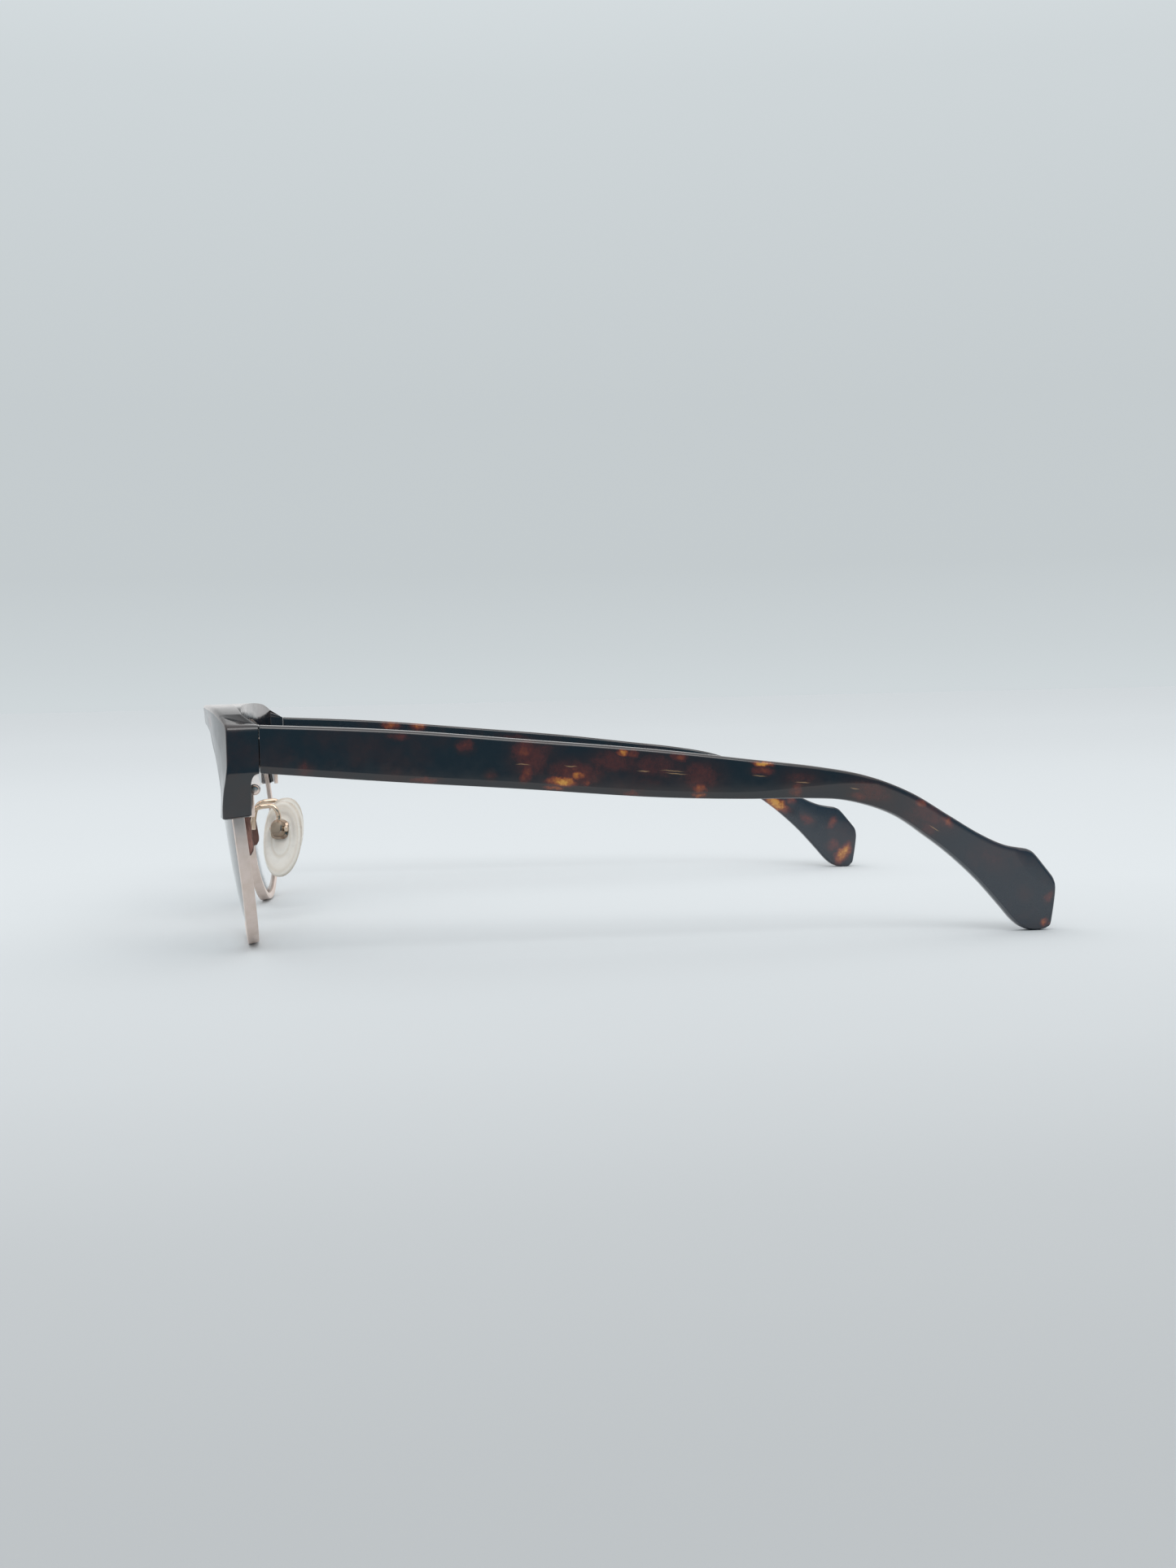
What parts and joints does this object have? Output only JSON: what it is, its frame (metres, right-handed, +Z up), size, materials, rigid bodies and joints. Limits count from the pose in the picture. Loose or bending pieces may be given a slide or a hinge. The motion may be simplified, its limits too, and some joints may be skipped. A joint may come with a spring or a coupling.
{
  "type": "half rim eyeglasses",
  "caption": "Browline eyeglasses: acetate brows over metal eyewires, adjustable nose pads and folding acetate temples.",
  "frame": {"origin": "on the surface the glasses stand on, under the centre of their bounding box", "axes": "the front faces -Y, the open temples run towards +Y, +Z is up and +X is the wearer's left"},
  "size_m": [0.1432, 0.1508, 0.0438],
  "materials": {
    "tortoise_acetate": "polished dark tortoiseshell acetate with amber flecks",
    "rose_gold": "polished pale rose gold plating",
    "demo_lens": "clear polished lens",
    "nose_pad_silicone": "smooth translucent beige",
    "core_wire_brass": "drawn wire inside the temple"
  },
  "bodies": {
    "front": {"left_brow": "tortoise_acetate", "right_brow": "tortoise_acetate", "left_eyewire": "rose_gold", "right_eyewire": "rose_gold", "left_lens": "demo_lens", "right_lens": "demo_lens", "bridge": "rose_gold", "left_rim_lock": "rose_gold", "right_rim_lock": "rose_gold", "left_rim_screw": "rose_gold", "right_rim_screw": "rose_gold", "left_front_leaf": "rose_gold", "right_front_leaf": "rose_gold", "left_hinge_screw": "rose_gold", "right_hinge_screw": "rose_gold", "left_pad_foot": "rose_gold", "right_pad_foot": "rose_gold", "left_pad_arm": "rose_gold", "right_pad_arm": "rose_gold", "left_pad_box": "rose_gold", "right_pad_box": "rose_gold", "left_pad_screw": "rose_gold", "right_pad_screw": "rose_gold"},
    "left_temple_arm": {"left_temple": "tortoise_acetate", "left_temple_leaf": "rose_gold", "left_core_wire": "core_wire_brass"},
    "right_temple_arm": {"right_temple": "tortoise_acetate", "right_temple_leaf": "rose_gold", "right_core_wire": "core_wire_brass"},
    "left_pad": {"left_nose_pad": "nose_pad_silicone", "left_pad_insert": "nose_pad_silicone"},
    "right_pad": {"right_nose_pad": "nose_pad_silicone", "right_pad_insert": "nose_pad_silicone"}
  },
  "joints": [
    {"name": "left_temple_fold", "type": "hinge", "parent": "front", "child": "left_temple_arm", "pos_m": [0.0645, -0.06323, 0.03525], "axis": [0, 0, 1], "range_deg": [0, 88]},
    {"name": "right_temple_fold", "type": "hinge", "parent": "front", "child": "right_temple_arm", "pos_m": [-0.0645, -0.06323, 0.03525], "axis": [0, 0, -1], "range_deg": [0, 78]},
    {"name": "left_pad_rock", "type": "hinge", "parent": "front", "child": "left_pad", "pos_m": [0.00997, -0.06305, 0.01891], "axis": [0.3552, 0.9348, 0], "range_deg": [-8, 8]},
    {"name": "right_pad_rock", "type": "hinge", "parent": "front", "child": "right_pad", "pos_m": [-0.00997, -0.06305, 0.01891], "axis": [-0.3552, 0.9348, 0], "range_deg": [-8, 8]}
  ]
}
